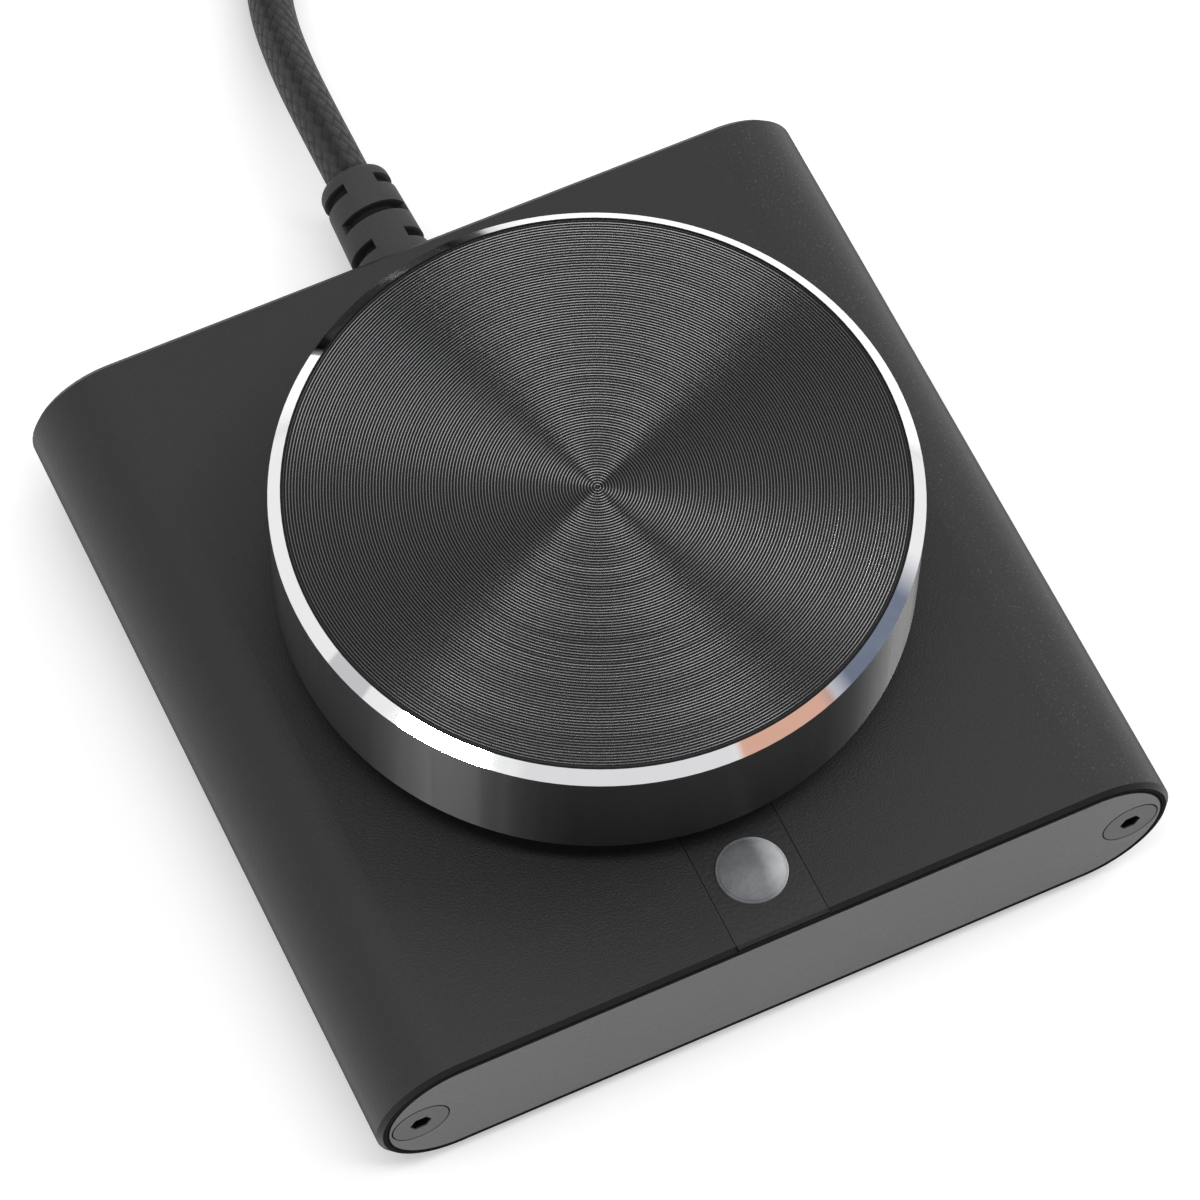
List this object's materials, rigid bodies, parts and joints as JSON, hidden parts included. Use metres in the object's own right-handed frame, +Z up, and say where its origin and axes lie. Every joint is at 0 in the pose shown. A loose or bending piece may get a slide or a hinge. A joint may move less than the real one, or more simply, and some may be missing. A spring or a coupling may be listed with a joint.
{
  "type": "usb volume control knob",
  "caption": "Flat black metal desk controller with a large turned knob that turns endlessly and presses to click, a status lens and a USB cable.",
  "frame": {"origin": "on the knob's axis at the surface that the feet stand on, bottom centre of the case", "axes": "+X to the right seen from the front, +Y to the back where the cable leaves, +Z up along the knob's axis"},
  "size_m": [0.0738, 0.181, 0.028],
  "materials": {
    "anodised_case": "bead-blasted black anodised",
    "black_moulding": "fine matt",
    "black_screw": "black oxide",
    "frosted_lens": "frosted",
    "turned_knob": "turned black anodised, bright chamfer",
    "black_rubber": "matt",
    "cable_sheath": "black braid",
    "foot_rubber": "matt",
    "board": "solder mask",
    "chip_case": "moulded",
    "crystal_can": "drawn can",
    "capacitor_can": "satin",
    "resistor_chip": "glazed",
    "led_package": "moulded",
    "cream_nylon": "moulded",
    "wire_sheath": "extruded",
    "encoder_moulding": "moulded",
    "plated_steel": "nickel plated",
    "spring_bronze": "rolled",
    "acetal": "moulded",
    "knob_insert": "moulded",
    "tie_strap": "hook and loop",
    "plug_grip": "moulded",
    "plug_steel": "nickel plated",
    "white_tongue": "moulded",
    "gold_contact": "gold plated"
  },
  "bodies": {
    "base": {"case_shell": "anodised_case", "front_plate": "black_moulding", "rear_plate": "black_moulding", "front_plate_screws": "black_screw", "rear_plate_screws": "black_screw", "status_lens": "frosted_lens", "status_led": "led_package", "rubber_feet": "foot_rubber", "circuit_board": "board", "controller_chip": "chip_case", "timing_crystal": "crystal_can", "capacitors": "capacitor_can", "resistors": "resistor_chip", "wire_socket": "cream_nylon", "wire_plug": "cream_nylon", "inner_wires": "wire_sheath", "cable_end": "cable_sheath", "strain_relief": "black_rubber", "cord_lead": "cable_sheath", "cord_coil": "cable_sheath", "cord_tail": "cable_sheath", "coil_tie": "tie_strap", "plug_overmould": "plug_grip", "plug_shell": "plug_steel", "plug_tongue": "white_tongue", "plug_contacts": "gold_contact", "encoder_housing": "encoder_moulding", "encoder_cover": "plated_steel", "encoder_bushing": "plated_steel", "encoder_washer": "plated_steel", "encoder_nut": "plated_steel", "encoder_terminals": "gold_contact", "detent_spring": "spring_bronze", "switch_dome": "spring_bronze", "switch_contact": "gold_contact"},
    "encoder_rotor": {"encoder_wheel": "acetal"},
    "knob": {"encoder_shaft": "plated_steel", "knob_hub": "knob_insert", "knob_shell": "turned_knob"}
  },
  "joints": [
    {"name": "knob_turn", "type": "hinge", "parent": "base", "child": "encoder_rotor", "pos_m": [0, 0, 0.0095], "axis": [0, 0, 1], "continuous": true},
    {"name": "knob_press", "type": "slide", "parent": "encoder_rotor", "child": "knob", "axis": [0, 0, -1], "range_m": [0, 0.0005], "stiffness_N_per_m": 1500, "springref_m": -0.0002, "deforming": ["switch_dome"]}
  ]
}
